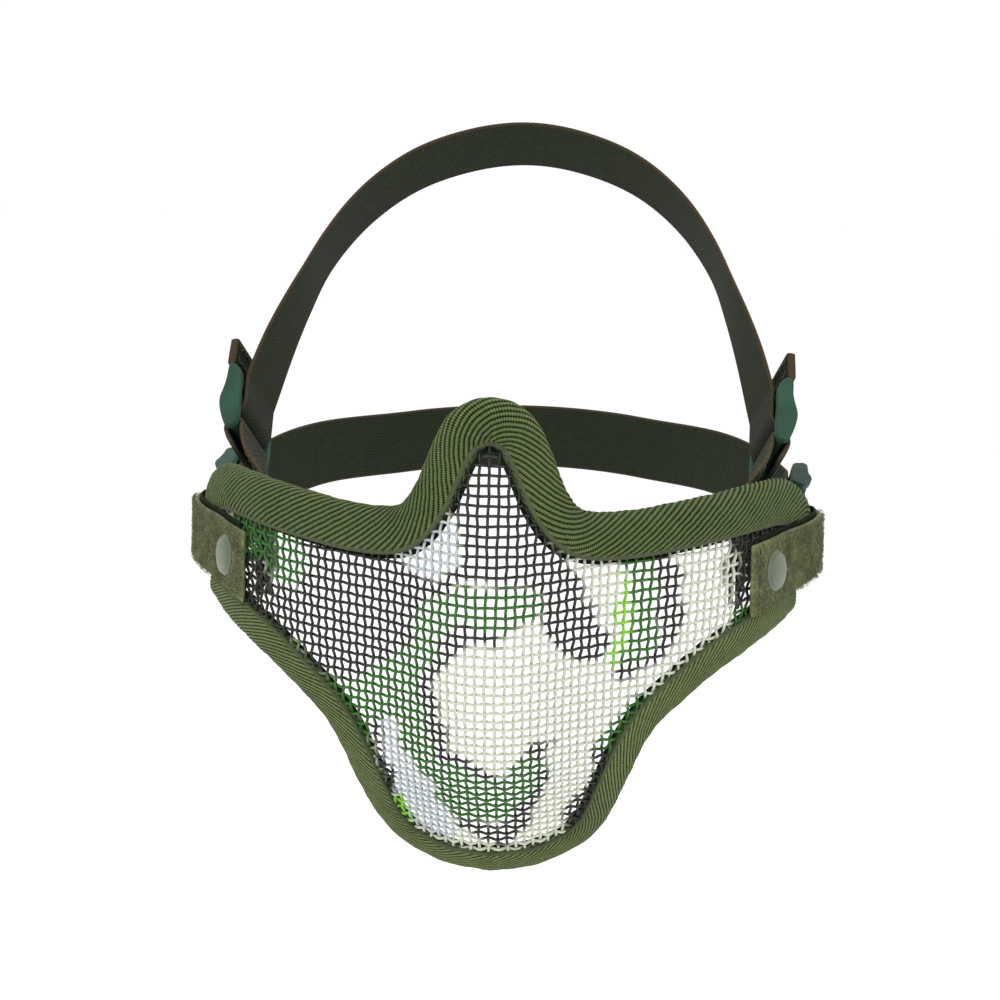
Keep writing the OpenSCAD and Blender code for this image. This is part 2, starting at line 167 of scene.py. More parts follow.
def tape_mat(name, pitch, ang, light, mid, dark, yarn=0.62):
    m = Mat(name, 0.9); m.b.inputs["Specular IOR Level"].default_value = 0.15; m.b.inputs["Sheen Weight"].default_value = 0.03; m.b.inputs["Sheen Roughness"].default_value = 0.5
    u, v = m.uv(); ca, sa = math.cos(ang), math.sin(ang)
    across = m.math("MULTIPLY", m.math("SUBTRACT", m.math("MULTIPLY", u, sa), m.math("MULTIPLY", v, ca)), math.pi/pitch)
    along = m.math("ADD", m.math("MULTIPLY", u, ca), m.math("MULTIPLY", v, sa))
    wob = m.noise(260, 2)
    rib = m.math("ABSOLUTE", m.math("SINE", m.math("ADD", across, m.math("MULTIPLY", m.math("SUBTRACT", wob, 0.5), 0.7))))
    # small knit stitches: slanted beads along each rib
    bead = m.math("SINE", m.math("ADD", m.math("MULTIPLY", along, 2*math.pi/yarn), m.math("MULTIPLY", across, 1.0)))
    bead = m.math("MULTIPLY_ADD", bead, 0.5, 0.5)
    tone = m.math("MULTIPLY_ADD", bead, 0.30, m.math("MULTIPLY", rib, 0.72))
    tone = m.math("ADD", tone, m.math("MULTIPLY", m.math("SUBTRACT", m.noise(900, 2), 0.5), 0.35))
    big = m.math("SUBTRACT", m.noise(28, 3), 0.5)
    tone = m.math("ADD", tone, m.math("MULTIPLY", big, 0.22))
    # The ramp paints shade into the rib and bead hollows and light onto their crests, on top of the random tone from
    # the noise.
    m.base(m.ramp(tone, (0.30, srgb(*dark)), (0.56, srgb(*mid)), (0.95, srgb(*light))))
    m.bump(m.math("ADD", m.math("MULTIPLY", rib, 0.5), m.math("MULTIPLY", bead, 0.5)), 0.00045, 1.0)
    return m.m
# Tape colours, in order: painted light on the rib crests, mid tone, painted shade in the hollows.
M_UP = tape_mat("olive_twill_tape", 1.42, math.radians(32), (98,114,66), (56,70,38), (10,16,7))
M_LOW = tape_mat("olive_fine_twill_tape", 0.95, math.radians(25), (116,130,80), (78,92,54), (20,29,14), 0.5)
def welt_mat():
    m = Mat("olive_welt", 0.85); u, v = m.uv()
    r = m.math("ABSOLUTE", m.math("SINE", m.math("MULTIPLY", u, math.pi/0.42)))
    t = m.math("ADD", m.math("MULTIPLY", r, 0.7), m.math("MULTIPLY", m.noise(700, 2), 0.3))
    # The ramp paints shade into the cross-rib hollows and light onto their crests, with a random tone from the noise.
    m.base(m.ramp(t, (0.15, srgb(26,34,18)), (0.6, srgb(58,68,40)), (1, srgb(82,92,58))))
    m.bump(r, 0.0001); return m.m
M_WELT = welt_mat()
def wire_mat():
    m = Mat("painted_wire", 0.46); m.b.inputs["Specular IOR Level"].default_value = 0.32
    a = m.n("Attribute", attribute_name="paint")
    n = m.noise(600, 3); n2 = m.noise(90, 2)
    k = m.math("MULTIPLY_ADD", n, 0.5, 0.72)
    c = m.n("Vector" "Math", operation="SCALE"); m.l(a.outputs["Color"], c.inputs[0]); m.l(k, c.inputs["Scale"])
    # thin worn spots where the bare wire shows
    worn = m.ramp(m.math("ADD", m.math("MULTIPLY", n, 0.5), m.math("MULTIPLY", n2, 0.5)), (0.66, (0,0,0,1)), (0.72, (1,1,1,1)))
    w = m.n("RGBToBW"); m.l(worn, w.inputs[0])
    m.base(m.mix(m.math("MULTIPLY", w.outputs[0], 0.55), c.outputs[0], srgb(120,122,118)))
    m.l(m.math("MULTIPLY_ADD", n, 0.25, 0.30), m.b.inputs["Roughness"])
    m.bump(n, 0.00008, 0.6); return m.m
M_WIRE = wire_mat()
def pile_mat(name, c0, c1, c2, sheen=0.12):
    m = Mat(name, 0.95); m.b.inputs["Specular IOR Level"].default_value = 0.15; m.b.inputs["Sheen Weight"].default_value = sheen; m.b.inputs["Sheen Roughness"].default_value = 0.6
    t = m.math("ADD", m.math("MULTIPLY", m.noise(1500, 3), 0.5), m.math("MULTIPLY", m.noise(160, 3), 0.5))
    m.base(m.ramp(t, (0.32, srgb(*c0)), (0.5, srgb(*c1)), (0.68, srgb(*c2)))); m.bump(m.noise(1300, 3), 0.0004); return m.m
M_PILE = pile_mat("loop_pile", (64,70,40), (94,100,62), (126,132,86))
M_FIBRE = pile_mat("pile_fibre", (76,82,50), (104,110,72), (136,142,98))
M_LINING = pile_mat("lining_webbing", (10,16,10), (20,30,18), (32,44,28), 0.0)
def web_mat(name, dark, mid, light, edge, half, pitch=0.9, cross=1.3):
    m = Mat(name, 0.8); m.b.inputs["Specular IOR Level"].default_value = 0.2
    u, v = m.uv()
    r = m.math("ABSOLUTE", m.math("SINE", m.math("MULTIPLY", v, math.pi/pitch)))
    row = m.math("MULTIPLY", m.math("FLOOR", m.math("DIVIDE", v, pitch)), math.pi*0.5)
    c = m.math("ABSOLUTE", m.math("SINE", m.math("ADD", m.math("MULTIPLY", u, math.pi/cross), row)))
    t = m.math("ADD", m.math("MULTIPLY", r, 0.45), m.math("MULTIPLY", c, 0.4)); t = m.math("ADD", t, m.math("MULTIPLY", m.math("SUBTRACT", m.noise(420, 3), 0.5), 0.5))
    # The ramp paints shade into the weave's hollows and light onto its crests, with a random tone from the noise.
    col = m.ramp(t, (0.1, srgb(*dark)), (0.5, srgb(*mid)), (1.0, srgb(*light)))
    # coloured yarn in the selvedges; v runs from -half to half on each face
    e = m.math("SUBTRACT", m.math("ABSOLUTE", v), half-0.6)
    e = m.math("MULTIPLY", e, 4.0, clamp=True); spk = m.math("MULTIPLY", e, m.math("GREATER_THAN", m.math("SINE", m.math("ADD", m.math("MULTIPLY", u, math.pi*2/0.8), m.math("MULTIPLY", v, 3.0))), -0.8))
    m.base(m.mix(m.math("MULTIPLY", spk, 0.55), col, srgb(*edge)))
    m.bump(m.math("ADD", m.math("MULTIPLY", r, 0.5), m.math("MULTIPLY", c, 0.5)), 0.00022, 0.9); return m.m
M_ELASTIC = web_mat("dark_elastic", (17,21,11), (27,33,18), (38,45,26), (78,58,40), 10)
M_WEB = web_mat("olive_webbing", (20,23,15), (36,39,27), (54,56,40), (82,62,44), 10, 1.3, 1.8)
def plastic(name, c, rough, b=0.00006, var=0.16):
    m = Mat(name, rough); n = m.noise(55, 4)
    lo = srgb(*[max(0, x*(1-var)) for x in c]); hi = srgb(*[min(255, x*(1+var)) for x in c])
    m.base(m.ramp(n, (0.3, lo), (0.7, hi))); m.l(m.math("MULTIPLY_ADD", m.noise(400, 3), 0.22, rough-0.08), m.b.inputs["Roughness"]); m.bump(m.noise(900, 2), b, 0.5); return m.m
M_BUCKLE = plastic("moulded_buckle", (36,64,50), 0.58); M_BUCKLE.node_tree.nodes["Principled BSDF"].inputs["Specular IOR Level"].default_value = 0.12
M_CAP = plastic("cap_enamel", (82,92,70), 0.34, 0.00003, 0.07)
M_STEEL = plastic("dull_steel", (150,150,145), 0.38, 0.00004); M_STEEL.node_tree.nodes["Principled BSDF"].inputs["Metallic"].default_value = 0.9
M_FOAM = pile_mat("closed_foam", (22,22,20), (34,34,32), (48,48,45))
M_THREAD = pile_mat("sewing_thread", (96,98,66), (126,124,88), (150,146,108))
M_THREAD_D = pile_mat("dark_thread", (40,44,28), (62,66,44), (86,88,62))

# ------------------------------------------------------------------ camouflage, outlines in mm across and up
COL = {"W": srgb(190,194,176), "G": srgb(42,92,30), "D": srgb(33,35,29), "L": srgb(122,182,44), "S": srgb(172,180,182)}
PAINT = [
    ("G", [(-78, 10), (-68, 8), (-55, 8), (-51, -6), (-54, -15), (-59, -19), (-63, -16), (-68, -11), (-76, -15)]),
    ("D", [(-54, 9), (-27, 9), (-16, -10), (-10, -8), (-9, -13), (-15, -16), (-21, -28), (-28, -36), (-39, -43), (-49, -41), (-58, -32), (-67, -30), (-84, -26), (-86, -14), (-69, -11), (-63, -16), (-55, -17)]),
    ("G", [(-68, -27), (-58, -32), (-49, -41), (-39, -42), (-29, -35), (-22, -27), (-17, -17), (-13, -14), (4, -10), (16, -15), (17, -20), (10, -23), (4, -24), (-9, -26), (-14, -33), (-17, -42), (-16, -51), (-11, -61), (-2, -66), (6, -65), (11, -60), (17, -58), (17, -66), (14, -75), (9, -81), (-6, -83), (-10, -80), (-19, -68), (-24, -59), (-27, -53), (-32, -54), (-33, -66), (-30, -79), (-35, -88), (-46, -60), (-58, -45), (-72, -36)]),
    ("D", [(-8, 34), (5, 34), (11, 13), (17, 3), (21, -3), (26, -12), (31, -19), (34, -28), (32, -32), (25, -33), (17, -29), (16, -21), (16, -15), (9, -12), (-2, -9), (-11, -13), (-13, -10), (-7, -4), (-6, 1), (-14, 12)]),
    ("D", [(4, -23), (3, -28), (-6, -28), (-11, -35), (-14, -42), (-13, -51), (-8, -60), (0, -64), (4, -67), (-2, -68), (-11, -64), (-16, -56), (-19, -45), (-17, -36), (-13, -27), (-9, -24)]),
    ("S", [(-27, 0), (-18, 8), (-10, 6), (-7, 1), (-7, -4), (-10, -7), (-16, -9), (-22, -8), (-27, -6)]),
    ("G", [(34, -2), (47, -2), (48, -17), (47, -28), (43, -36), (37, -39), (35, -34), (38, -22), (39, -14)]),
    ("L", [(35, -9), (38, -12), (41, -18), (40, -25), (37, -32), (35, -36), (33, -32), (36, -23), (37, -16)]),
    ("D", [(43, -1), (50, -2), (54, -15), (56, -22), (51, -30), (45, -36), (39, -41), (35, -39), (36, -36), (43, -34), (47, -28), (48, -17), (46, -8)]),
    ("D", [(68, 3), (90, 3), (90, -23), (72, -24), (69, -30), (66, -30), (69, -21)]),
    ("G", [(71, -19), (85, -17), (85, -28), (69, -27), (66, -30)]),
    ("G", [(43, -43), (47, -46), (37, -60), (33, -67), (31, -60), (33, -54), (38, -47)]),
    ("D", [(32, -59), (36, -64), (33, -77), (28, -84), (21, -89), (22, -80), (27, -70), (30, -62)]),
    ("D", [(14, -65), (17, -66), (15, -76), (12, -84), (5, -89), (-3, -89), (-9, -85), (-6, -82), (4, -83), (8, -80), (12, -74)]),
    ("S", [(-27, -53), (-24, -60), (-19, -68), (-14, -74), (-9, -82), (-11, -89), (-22, -86), (-27, -83), (-29, -72), (-31, -62), (-32, -54)]),
    ("D", [(-33, -52), (-30, -54), (-29, -65), (-27, -77), (-29, -81), (-32, -73), (-32, -63)]),
    ("L", [(-30, -78), (-25, -77), (-21, -82), (-23, -88), (-30, -86)]),
    ("D", [(11, -59), (17, -57), (21, -56), (19, -60), (17, -64)]),
]
def poly_sd(px, pz, pts):
    """Signed distance to a closed outline, negative inside."""
    A = np.array(pts, float); Bq = np.roll(A, -1, 0)
    d2 = np.full(px.shape, 1e9); inside = np.zeros(px.shape, bool)
    for (ax, az), (bx, bz) in zip(A, Bq):
        ex, ez = bx-ax, bz-az; L = ex*ex+ez*ez
        t = np.clip(((px-ax)*ex+(pz-az)*ez)/L, 0, 1)
        d2 = np.minimum(d2, (px-ax-t*ex)**2+(pz-az-t*ez)**2)
        if az != bz:
            c = (az > pz) != (bz > pz)
            inside ^= c & (px < (bx-ax)*(pz-az)/(bz-az)+ax)
    d = np.sqrt(d2); return np.where(inside, -d, d)
def paint_at(x, z):
    wx = x+1.1*np.sin(z*0.31+1.3)+0.7*np.sin(x*0.47-z*0.53)+0.35*np.sin(x*1.3+z*0.9)
    wz = z+1.0*np.sin(x*0.29+0.4)+0.7*np.sin(x*0.41+z*0.59+2.0)+0.35*np.sin(z*1.2-x*1.1)
    c = np.tile(np.array(COL["W"]), (len(x), 1))
    g = 0.5+0.5*np.sin(x*0.05+z*0.03+1.0); c[:, :3] = c[:, :3]*(1-0.18*g[:, None])+np.array(COL["S"])[:3]*0.18*g[:, None]
    for k, pts in PAINT:
        s = poly_sd(wx, wz, pts); s = np.where(np.abs(s) < 1e9, s, 9)
        a = np.clip(0.5-s/2.2, 0, 1); a = a*a*(3-2*a)
        c = c*(1-a[:, None])+np.array(COL[k])*a[:, None]
    return c

# ------------------------------------------------------------------ woven wire
P = 2.83; RW = 0.44; AMP = 0.37; KAP = 0.13; SAMP = 5
xs = np.linspace(0, 92.9, 4000); fy = smooth(PLAN, xs)
arc = np.r_[0, np.cumsum(np.hypot(np.diff(xs), np.diff(fy)))]
def x_of(s): return np.sign(s)*np.interp(np.abs(s), arc, xs)
zz = np.linspace(-103, 45, 4000); gy = smooth(SIDE, zz)
zarc = np.r_[0, np.cumsum(np.hypot(np.diff(zz), np.diff(gy)))]
def lean(z): return 1+0.0007*(np.clip(z, -100, 40)+15)
def net(s, r):
    """Face point at arc s across and arc r up the middle; rows rise as they wrap back."""
    z0 = np.interp(r, zarc, zz); y0 = smooth(SIDE, z0); z = z0.copy()
    for _ in range(12):
        x = x_of(s)*lean(z)
        z = z0+KAP*(smooth(PLAN, np.abs(np.clip(x, -92.9, 92.9)))+0*y0)
        z = np.clip(z, -103, 45)
    return np.clip(x, -92.9, 92.9), z
bound = np.vstack([whole(crom([[min(a, 86.5), b] for a, b in UP_LINE], 4))[::-1], whole(crom(LOW_LINE, 4))])
def wires(name, vertical):
    S, R = arc[-1], zarc[-1]
    ns = int(arc[-1]/P)+1; nr = int(R/P)+2
    Vs, Fs, Cs = [], [], []; base = 0; K = 7
    ang = 2*np.pi*np.arange(K)/K
    offr = 1.3
    lines = range(-ns, ns+1) if vertical else range(-2, nr+10)
    for i in lines:
        if vertical:
            n = (nr+14)*SAMP; par = np.arange(-3*SAMP, n)/SAMP; s = np.full(par.shape, i*P); r = par*P+offr
        else:
            n = ns*SAMP; par = np.arange(-n, n+1)/SAMP; s = par*P; r = np.full(par.shape, i*P+offr)
        rr = np.clip(r, 0, R); x, z = net(s, rr)
        ok = (r == rr) & (np.abs(x) < 88.0)
        ins = poly_sd(x, z, bound) < -0.6
        ok &= ins
        # short jitter keeps the hand-formed look
        jig = 0.10*np.sin(par*0.8+i*1.7)+0.06*np.sin(par*2.1+i*0.6)
        n_ = face_n(x, z); c = face(x, z)
        sign = 1 if vertical else -1
        wave = sign*AMP*np.cos(np.pi*(par+i))
        c = c+n_*wave[:, None]
        t = unit(np.gradient(c, axis=0)); b = unit(np.cross(t, n_)); nn = unit(np.cross(b, t))
        c = c+b*jig[:, None]
        edges = np.flatnonzero(np.diff(np.r_[0, ok.astype(int), 0]))
        for a, e in zip(edges[::2], edges[1::2]):
            m = e-a
            if m < 4: continue
            off = b[a:e, None]*np.cos(ang)[None, :, None]*RW+nn[a:e, None]*np.sin(ang)[None, :, None]*RW
            V = (c[a:e, None]+off).reshape(-1, 3)
            ii, jj = np.meshgrid(np.arange(m-1), np.arange(K), indexing="ij"); j2 = (jj+1) % K
            F = np.stack([ii*K+jj, ii*K+j2, (ii+1)*K+j2, (ii+1)*K+jj], -1).reshape(-1, 4)+base
            Vs.append(V); Fs.append(F); Cs.append(np.repeat(paint_at(x[a:e], z[a:e]), K, 0)); base += len(V)
            # closed ends
            j = np.arange(K); V2 = np.stack([c[a], c[e-1]]); Vs.append(V2); Cs.append(np.tile(paint_at(x[[a]], z[[a]]), (2, 1)))
            b0 = base-len(V)
            Fs.append(np.stack([np.full(K, base), b0+(j+1) % K, b0+j], -1)); Fs.append(np.stack([np.full(K, base+1), b0+(m-1)*K+j, b0+(m-1)*K+(j+1) % K], -1)); base += 2
    Q = np.vstack([f for f in Fs if f.shape[1] == 4]); T = np.vstack([f for f in Fs if f.shape[1] == 3])
    o = mesh(name, np.vstack(Vs), [Q, T], None, M_WIRE, "mask", {"paint": np.vstack(Cs)})
    return o
w1 = wires("upright_wires", True); w2 = wires("cross_wires", False)
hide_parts("mesh_face")

# ------------------------------------------------------------------ padded tapes with raised ribs
def path_frames(line, step):
    P2 = whole(crom(line, 24)); c = face(P2[:, 0], P2[:, 1])
    d, s = resample(np.hstack([c, P2]), step)
    d3 = face(d[:, 3], d[:, 4])
    L = np.r_[0, np.cumsum(np.linalg.norm(np.diff(d3, axis=0), axis=1))]
    t = np.gradient(d3, axis=0)
    n0 = face_n(d[:, 3], d[:, 4])
    k = max(1, int(round(2.5/step)))
    ker = np.hanning(2*k+1); ker /= ker.sum()
    def sm(a):
        p = np.vstack([np.repeat(a[:1], k, 0), a, np.repeat(a[-1:], k, 0)]); return np.stack([np.convolve(p[:, i], ker, "valid") for i in range(3)], -1)
    t = unit(sm(t)); n0 = unit(sm(n0)); n = unit(n0-t*(n0*t).sum(-1, keepdims=True)); b = np.cross(t, n)
    return d3, t, n, b, L
def section(a, t, k, start):
    g = start+2*np.pi*np.arange(k+1)/k
    x = a*np.sign(np.cos(g))*np.abs(np.cos(g))**0.8; y = t*np.sign(np.sin(g))*np.abs(np.sin(g))**0.8
    fine = np.linspace(0, 2*np.pi, 4001)+start
    fx = a*np.sign(np.cos(fine))*np.abs(np.cos(fine))**0.8; fyy = t*np.sign(np.sin(fine))*np.abs(np.sin(fine))**0.8
    L = np.r_[0, np.cumsum(np.hypot(np.diff(fx), np.diff(fyy)))]
    want = np.linspace(0, L[-1], k+1)
    return np.stack([np.interp(want, L, fx), np.interp(want, L, fyy)], -1), want
def tape(name, line, w, t, step, k, pitch, ang, relief, mat, start, node, flip):
    c, tg, n, b, L = path_frames(line, step)
    m = len(c)
    sec, around = section(w/2-relief*0.5, t/2-relief*0.5, k, start)
    around = around*flip
    nsec = np.stack([-np.gradient(sec[:, 1]), np.gradient(sec[:, 0])], -1); nsec = unit(nsec)
    if (nsec[0]*sec[0]).sum() < 0: nsec = -nsec
    U = np.repeat(L[:, None], k+1, 1); W = np.repeat(around[None], m, 0)
    ph = math.pi/pitch*(U*math.sin(ang)-W*math.cos(ang))
    # the rib count round the closed section is made whole
    full = math.pi/pitch*abs(around[-1])*math.cos(ang); fix = round(full/math.pi)*math.pi/full
    W = W*fix; ph = math.pi/pitch*(U*math.sin(ang)-W*math.cos(ang))
    rib = np.abs(np.sin(ph))**0.6
    low = 0.10*np.sin(U*0.35+1)*np.sin(W*0.5+U*0.11)+0.06*np.sin(U*0.9+W*0.7)
    h = relief*(rib-0.5)+low
    # the padding thins out at the two ends
    endf = np.clip(np.minimum(L, L[-1]-L)/3.0, 0.35, 1)[:, None]
    OFF = sec[None, :k]*endf[..., None]+nsec[None, :k]*h[:, :k, None]
    uv = np.stack([U, W], -1)
    o = sweep(name, c, b, n, OFF, uv, mat, "mask")
    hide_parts(node)
    return c, tg, n, b, L
up = tape("upper_padded_edge", UP_LINE, 13.6, 6.6, 0.42, 150, 1.42, math.radians(32), 0.40, M_UP, 0.0, "upper_binding", 1)
lo = tape("lower_padded_edge", LOW_LINE, 9.4, 5.6, 0.40, 138, 0.95, math.radians(25), 0.24, M_LOW, math.pi, "lower_binding", 1)

def strip(name, fr, off_b, off_n, hw, ht, mat, body, trim=0.0, pitch=0.42):
    c, tg, n, b, L = fr
    c = c+b*off_b+n*off_n
    k = 14; g = 2*np.pi*np.arange(k)/k
    sel = (L >= trim) & (L <= L[-1]-trim)
    c, n, b, L2 = c[sel], n[sel], b[sel], L[sel]
    r = 1+0.10*(np.abs(np.sin(np.pi*L2/pitch))-0.5)
    OFF = np.stack([hw*np.cos(g)[None]*r[:, None], ht*np.sin(g)[None]*r[:, None]], -1)
    uv = np.stack([np.repeat(L2[:, None], k+1, 1), np.repeat(np.linspace(0, 4, k+1)[None], len(L2), 0)], -1)
    o = sweep(name, c, b, n, OFF, uv, mat, body); return o
# folded welt along the inner edge, front and back
strip("upper_welt_front", up, 6.15, 1.15, 0.85, 0.75, M_WELT, "mask", 2)
strip("upper_welt_back", up, 6.15, -1.15, 0.85, 0.75, M_WELT, "mask", 2)
strip("lower_welt_front", lo, -4.1, 1.05, 0.75, 0.6, M_WELT, "mask", 2)
strip("lower_welt_back", lo, -4.1, -1.05, 0.75, 0.6, M_WELT, "mask", 2)

# Dark strips behind the mesh just inside the welts stand in for the shade band along the binding's inner edge: painted
# shade.
strip("upper_painted_shade_strip", up, 7.1, -1.5, 1.0, 0.45, M_LINING, "mask", 3)
strip("lower_painted_shade_strip", lo, -4.9, -1.3, 0.8, 0.4, M_LINING, "mask", 3)

# ------------------------------------------------------------------ stitches
def stitch_mesh(name, segs, r, mat, body):
    """segs: list of (p0, p1, up) in mm; each a plump thread bowed along up."""
    K, M_ = 6, 5; Vs, Fs, Ts = [], [], []; base = 0; g = 2*np.pi*np.arange(K)/K
    for p0, p1, upv in segs:
        p0, p1, upv = map(lambda v: np.asarray(v, float), (p0, p1, upv))
        t = unit(p1-p0); b = unit(np.cross(t, upv)); u = np.cross(b, t)
        q = np.linspace(0, 1, M_); cen = p0+(p1-p0)*q[:, None]+u*(np.sin(q*np.pi)*r*0.7)[:, None]
        rad = r*np.array([0.55, 1, 1.05, 1, 0.55])
        V = (cen[:, None]+b*np.cos(g)[None, :, None]*rad[:, None, None]+u*np.sin(g)[None, :, None]*rad[:, None, None]).reshape(-1, 3)
        V = np.vstack([V, p0, p1]); i, j = np.meshgrid(np.arange(M_-1), np.arange(K), indexing="ij"); j2 = (j+1) % K
        Fs.append(np.stack([i*K+j, i*K+j2, (i+1)*K+j2, (i+1)*K+j], -1).reshape(-1, 4)+base)
        jj = np.arange(K); e = M_*K
        Ts.append(np.vstack([np.stack([np.full(K, e), (jj+1) % K, jj], -1), np.stack([np.full(K, e+1), (M_-1)*K+jj, (M_-1)*K+(jj+1) % K], -1)])+base)
        Vs.append(V); base += len(V)
    o = mesh(name, np.vstack(Vs), [np.vstack(Fs), np.vstack(Ts)], None, mat, body); return o

# ------------------------------------------------------------------ side tabs, linings, caps
TAB = [[73.6,-45],[76.9,-38.5],[80.2,-31.5],[83.6,-23.4],[88,-15.5],[91.4,-7],[93,0],[92.6,5],[89.5,7.8],[86,7.2],[83.6,3.6],[82.2,-1.5],[80.6,-8]]
LIN = [[75.4,-38.6],[78.9,-31.2],[82.4,-23],[86.8,-14.8],[90.2,-6.6],[91.6,0],[91.2,4.4],[89,6.4],[86.6,5.8],[84.9,3],[83.5,-2]]
def leaf(path, th, z0, z1, sgn, low_of=None, step=0.6, zn=44, wob=0.12, seed=1):
    """Closed rounded slab that follows a plan path, from z0 to z1."""
    p, L = resample(crom(path, 12), step); t = unit(np.gradient(p, axis=0)); n = np.stack([t[:, 1], -t[:, 0]], -1)
    m = len(p); r = np.random.default_rng(seed)
    zt = np.linspace(0, 1, zn)
    lowz = np.maximum(z0+climb(p[:, 1]), cut_z(p[:, 1])+low_of); topz = z1+climb(p[:, 1])
    Z = lowz[:, None]+(topz-lowz)[:, None]*zt[None]
    # edges thin to a rounded lip
    ez = np.minimum(Z-lowz[:, None], topz[:, None]-Z); es = np.minimum(L, L[-1]-L)[:, None]
    lip = np.sqrt(np.clip(1-(1-np.clip(np.minimum(ez, es)/(th*0.5), 0, 1))**2, 0.02, 1))
    w = wob*(np.sin(L[:, None]*0.9+Z*0.5)+np.sin(L[:, None]*0.37-Z*1.1+1))*0.5
    X = p[:, None, 0]; Y = p[:, None, 1]; NX, NY = n[:, None, 0], n[:, None, 1]
    out = []
    for s in (1, -1):
        h = s*th/2*lip+w
        out.append(np.stack([(X+NX*h)*sgn, Y+NY*h, Z], -1))
    V = np.vstack([out[0].reshape(-1, 3), out[1].reshape(-1, 3)]); N_ = m*zn
    i, j = np.meshgrid(np.arange(m-1), np.arange(zn-1), indexing="ij"); a = i*zn+j
    q0 = np.stack([a, a+1, a+zn+1, a+zn], -1).reshape(-1, 4); q1 = q0[:, ::-1]+N_
    rim = []
    k = np.arange(zn-1); rim.append(np.stack([k, k+N_, k+1+N_, k+1], -1)); k2 = (m-1)*zn+k; rim.append(np.stack([k2+1, k2+1+N_, k2+N_, k2], -1))
    e = np.arange(m-1)*zn; rim.append(np.stack([e+zn, e+zn+N_, e+N_, e], -1)); e2 = e+zn-1; rim.append(np.stack([e2, e2+N_, e2+zn+N_, e2+zn], -1))
    F = np.vstack([q0, q1]+rim)
    if sgn > 0: F = F[:, ::-1]
    uv = np.stack([V[:, 1], V[:, 2]], -1)[F.ravel()]
    return V, F, uv, p, n, L, lowz, topz
def climb(y): return 0.13*(y+25)
def cut_z(y): return -25+13.4*(y+50)/62
def fibres(name, sgn, p, n, L, lowz, z1, count, side, mat, seed):
    r = np.random.default_rng(seed); Vs, Fs = [], []; base = 0
    t = r.random(count); li = t*(len(p)-1); i0 = np.clip(li.astype(int), 0, len(p)-2); f = (li-i0)[:, None]
    c = p[i0]*(1-f)+p[i0+1]*f; nn = unit(n[i0]*(1-f)+n[i0+1]*f); lz = lowz[i0]
    z = lz+(z1[i0]-lz)*r.random(count)
    tt = np.stack([nn[:, 1], -nn[:, 0]], -1)
    keep = np.ones(count, bool)
    if side > 0:  # leave the cap's place clear
        keep = np.hypot((c[:, 0]-82.6)*0.9, 0) + 0 >= 0
        dcap = np.hypot(np.hypot(c[:, 0]-79.6, c[:, 1]+32.9), z+11); keep = dcap > 6.6
    ang = r.random(count)*2*np.pi; ln = 0.55+0.7*r.random(count); hh = 0.35+0.65*r.random(count)
    for q in np.flatnonzero(keep):
        o3 = np.array([c[q, 0]+nn[q, 0]*side*0.72, c[q, 1]+nn[q, 1]*side*0.72, z[q]])
        N3 = np.array([nn[q, 0]*side, nn[q, 1]*side, 0.0]); T3 = np.array([tt[q, 0], tt[q, 1], 0.0]); Z3 = np.array([0, 0, 1.0])
        d = T3*math.cos(ang[q])+Z3*math.sin(ang[q]); w = np.cross(N3, d)
        k = np.linspace(0, 1, 5)[:, None]
        cen = o3+d*(k-0.5)*ln[q]*1.3+N3*np.sin(k*np.pi)*hh[q]
        rad = 0.055
        Vq = np.concatenate([cen+w*rad, cen-w*rad*0.5+N3*rad*0.8, cen-w*rad*0.5-N3*rad*0.8-d*0.02], 0)
        Vs.append(Vq)
    V = np.vstack(Vs); nq = len(Vs); V[:, 0] *= sgn
    a = np.arange(4); quad = []
    for s0, s1 in ((0, 5), (5, 10), (10, 0)): quad.append(np.stack([s0+a, s1+a, s1+a+1, s0+a+1], -1))
    quad = np.vstack(quad); tri = np.array([[0, 10, 5], [4, 9, 14]])
    if sgn > 0: quad, tri = quad[:, ::-1], tri[:, ::-1]
    F = (quad[None]+np.arange(nq)[:, None, None]*15).reshape(-1, 4); T = (tri[None]+np.arange(nq)[:, None, None]*15).reshape(-1, 3)
    o = mesh(name, V, [F, T], None, mat, "mask"); return o
def lathe(name, prof, center, axis, mat, body, seg=64):
    ax = unit(np.array(axis, float)); a = unit(np.cross(ax, [0, 0, 1.0])); b = np.cross(ax, a); g = 2*np.pi*np.arange(seg)/seg
    prof = np.array(prof, float); V = [np.array(center)+ax*h+(a*np.cos(t)+b*np.sin(t))*r for r, h in prof for t in g]
    m = len(prof); i, j = np.meshgrid(np.arange(m-1), np.arange(seg), indexing="ij"); j2 = (j+1) % seg
    F = np.stack([i*seg+j, i*seg+j2, (i+1)*seg+j2, (i+1)*seg+j], -1).reshape(-1, 4)
    V = np.vstack([V, [np.array(center)+ax*prof[0, 1]], [np.array(center)+ax*prof[-1, 1]]]); jj = np.arange(seg)
    T = np.vstack([np.stack([np.full(seg, m*seg), (jj+1) % seg, jj], -1), np.stack([np.full(seg, m*seg+1), (m-1)*seg+jj, (m-1)*seg+(jj+1) % seg], -1)])
    o = mesh(name, V, [F, T], None, mat, body); return o
wall = face_n(77.0, -11.0)
